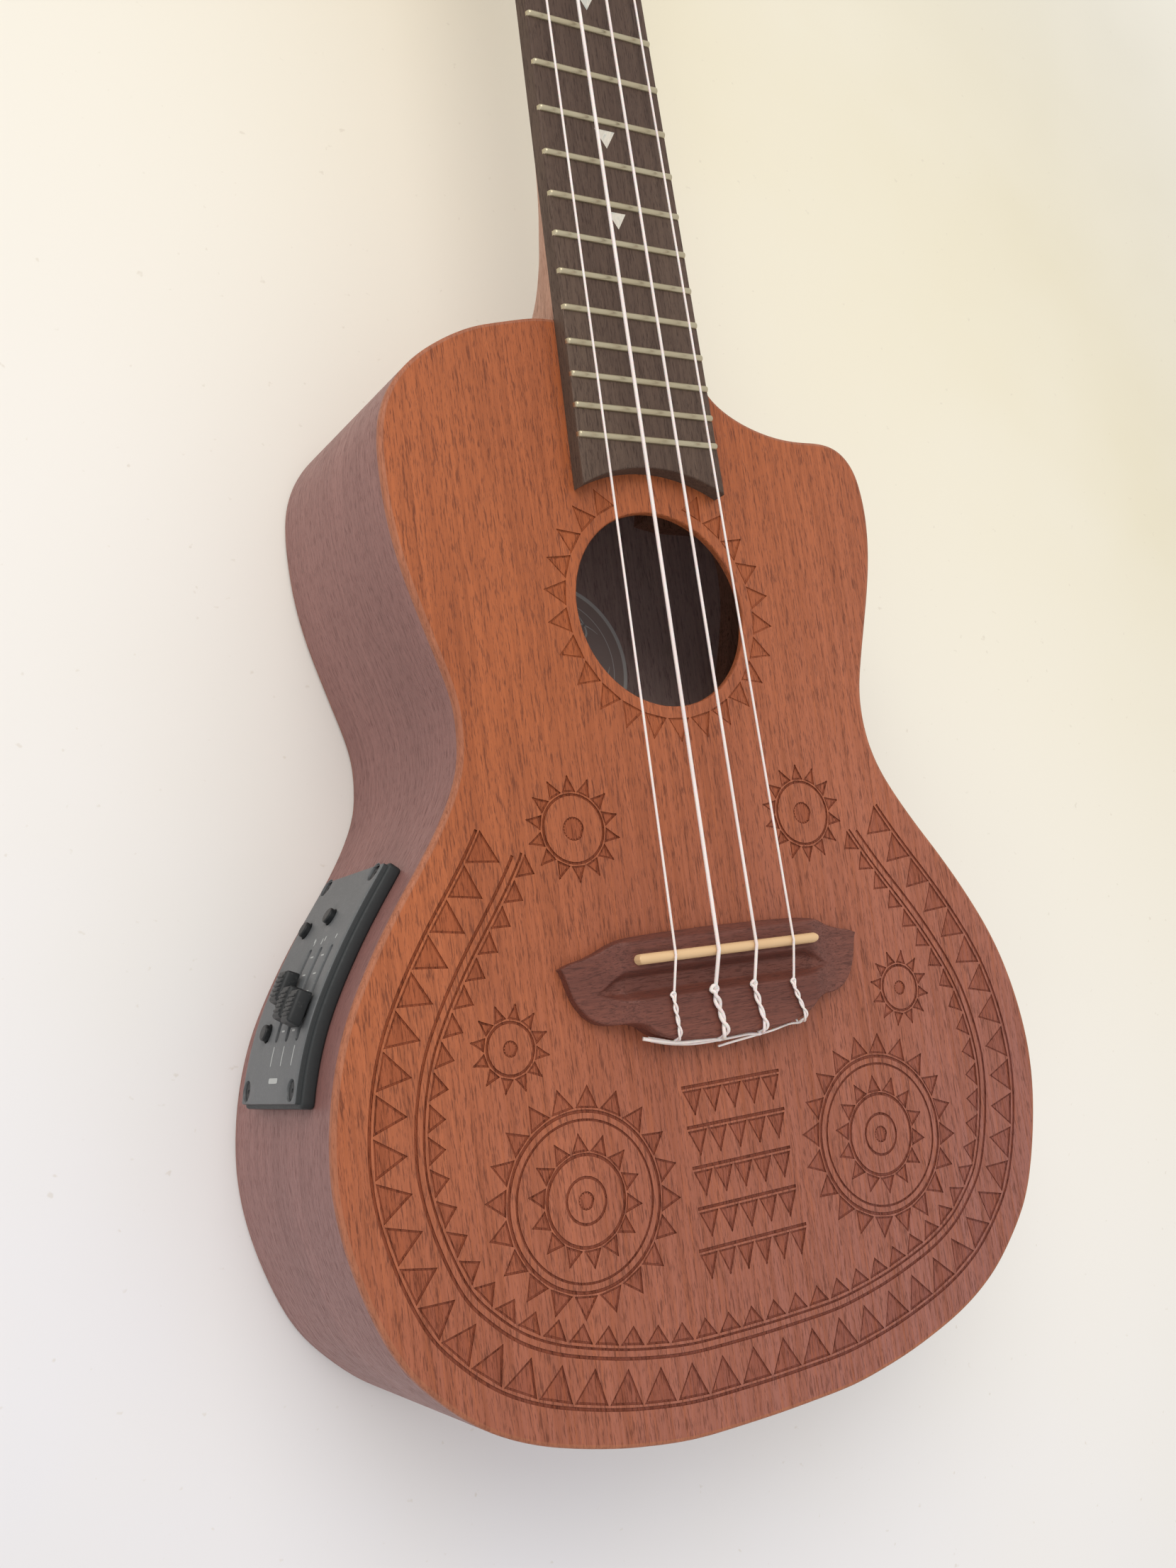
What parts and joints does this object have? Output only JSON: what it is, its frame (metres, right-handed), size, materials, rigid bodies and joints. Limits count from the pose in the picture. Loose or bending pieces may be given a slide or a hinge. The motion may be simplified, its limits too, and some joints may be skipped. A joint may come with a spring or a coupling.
{
  "type": "concert ukulele",
  "caption": "Concert ukulele with a cutaway, dark tie bridge, nylon strings, geared tuners and a slider preamp set in the side; lies on its flat back.",
  "frame": {"origin": "on the centreline of the back's outer face, straight under the theoretical saddle line", "axes": "+Z out of the soundboard, +Y towards the headstock, +X towards the treble side (the cutaway)"},
  "size_m": [0.2182, 0.644, 0.0783],
  "materials": {
    "mahogany_top": "satin, open pored mahogany, reddish orange",
    "mahogany_side": "satin mahogany, purple brown",
    "mahogany_neck": "satin mahogany, light pinkish brown",
    "rosewood": "oiled dark brown rosewood, open grain",
    "spruce": "bare softwood",
    "bone": "polished cream bone",
    "nylon": "white translucent nylon",
    "pearl": "pale mother of pearl",
    "fretwire": "nickel silver",
    "chrome": "polished chrome plate",
    "steel": "plain steel",
    "pearl_plastic": "pearly white plastic",
    "black_plastic": "charcoal moulded plastic",
    "cap_plastic": "black moulded plastic",
    "paper": "printed paper label",
    "circuit": "green circuit board",
    "battery_case": "painted metal can",
    "lead_rubber": "black flexible insulation",
    "ceramic": "braided pickup strip"
  },
  "bodies": {
    "root": {"back_braces": "spruce", "back_plate": "mahogany_side", "battery": "battery_case", "battery_clip": "cap_plastic", "battery_lead": "lead_rubber", "bridge": "rosewood", "bridge_plate": "spruce", "fret_markers": "pearl", "fretboard": "rosewood", "frets": "fretwire", "headstock_veneer": "rosewood", "jack_lead": "lead_rubber", "label": "paper", "linings_back": "mahogany_neck", "linings_top": "mahogany_neck", "neck": "mahogany_neck", "neck_block": "mahogany_neck", "nut": "bone", "output_jack": "chrome", "pickup_lead": "lead_rubber", "pickup_strip": "ceramic", "preamp_circuit_board": "circuit", "preamp_faceplate": "black_plastic", "preamp_housing": "cap_plastic", "preamp_screws": "steel", "saddle": "bone", "side_bass": "mahogany_side", "side_treble": "mahogany_side", "soundboard": "mahogany_top", "soundboard_braces": "spruce", "strap_button_nut": "chrome", "string_a": "nylon", "string_c": "nylon", "string_e": "nylon", "string_g": "nylon", "tail_block": "mahogany_neck", "tuner_bushings": "chrome", "tuner_covers": "chrome", "tuner_housings": "chrome", "tuner_screws": "steel"},
    "post_body_g": {"post_g": "chrome"},
    "worm_body_g": {"worm_g": "chrome", "knob_g": "pearl_plastic"},
    "post_body_c": {"post_c": "chrome"},
    "worm_body_c": {"worm_c": "chrome", "knob_c": "pearl_plastic"},
    "post_body_e": {"post_e": "chrome"},
    "worm_body_e": {"worm_e": "chrome", "knob_e": "pearl_plastic"},
    "post_body_a": {"post_a": "chrome"},
    "worm_body_a": {"worm_a": "chrome", "knob_a": "pearl_plastic"},
    "slider_body_volume": {"slider_volume": "cap_plastic"},
    "slider_body_bass": {"slider_bass": "cap_plastic"},
    "slider_body_treble": {"slider_treble": "cap_plastic"},
    "button_body_mute": {"button_mute": "cap_plastic"},
    "button_body_tuner": {"button_tuner": "cap_plastic"},
    "button_body_phase": {"button_phase": "cap_plastic"}
  },
  "joints": [
    {"name": "post_turn_g", "type": "hinge", "parent": "root", "child": "post_body_g", "pos_m": [-0.019, 0.42303, 0.05945], "axis": [0, 0.225, 0.9744], "continuous": true},
    {"name": "knob_turn_g", "type": "hinge", "parent": "root", "child": "worm_body_g", "pos_m": [-0.019, 0.4259, 0.0399], "axis": [-1, 0, 0], "continuous": true},
    {"name": "post_turn_c", "type": "hinge", "parent": "root", "child": "post_body_c", "pos_m": [-0.019, 0.47175, 0.0482], "axis": [0, 0.225, 0.9744], "continuous": true},
    {"name": "knob_turn_c", "type": "hinge", "parent": "root", "child": "worm_body_c", "pos_m": [-0.019, 0.47462, 0.02866], "axis": [-1, 0, 0], "continuous": true},
    {"name": "post_turn_e", "type": "hinge", "parent": "root", "child": "post_body_e", "pos_m": [0.019, 0.47175, 0.0482], "axis": [0, 0.225, 0.9744], "continuous": true},
    {"name": "knob_turn_e", "type": "hinge", "parent": "root", "child": "worm_body_e", "pos_m": [0.019, 0.47462, 0.02866], "axis": [1, 0, 0], "continuous": true},
    {"name": "post_turn_a", "type": "hinge", "parent": "root", "child": "post_body_a", "pos_m": [0.019, 0.42303, 0.05945], "axis": [0, 0.225, 0.9744], "continuous": true},
    {"name": "knob_turn_a", "type": "hinge", "parent": "root", "child": "worm_body_a", "pos_m": [0.019, 0.4259, 0.0399], "axis": [1, 0, 0], "continuous": true},
    {"name": "slide_volume", "type": "slide", "parent": "root", "child": "slider_body_volume", "axis": [0.4748, 0.8801, 0], "range_m": [-0.00467, 0.01489]},
    {"name": "slide_bass", "type": "slide", "parent": "root", "child": "slider_body_bass", "axis": [0.4748, 0.8801, 0], "range_m": [-0.00597, 0.01359]},
    {"name": "slide_treble", "type": "slide", "parent": "root", "child": "slider_body_treble", "axis": [0.4748, 0.8801, 0], "range_m": [-0.01037, 0.00919]},
    {"name": "press_mute", "type": "slide", "parent": "root", "child": "button_body_mute", "axis": [0.8122, -0.5833, 0], "range_m": [0, 0.0012], "stiffness_N_per_m": 300, "springref_m": -0.001},
    {"name": "press_tuner", "type": "slide", "parent": "root", "child": "button_body_tuner", "axis": [0.8178, -0.5755, 0], "range_m": [0, 0.0012], "stiffness_N_per_m": 300, "springref_m": -0.001},
    {"name": "press_phase", "type": "slide", "parent": "root", "child": "button_body_phase", "axis": [0.9204, -0.391, 0], "range_m": [0, 0.0012], "stiffness_N_per_m": 300, "springref_m": -0.001}
  ],
  "couplings": [
    {"joint": "post_turn_g", "follows": "knob_turn_g", "ratio": -0.071429},
    {"joint": "post_turn_c", "follows": "knob_turn_c", "ratio": -0.071429},
    {"joint": "post_turn_e", "follows": "knob_turn_e", "ratio": 0.071429},
    {"joint": "post_turn_a", "follows": "knob_turn_a", "ratio": 0.071429}
  ]
}
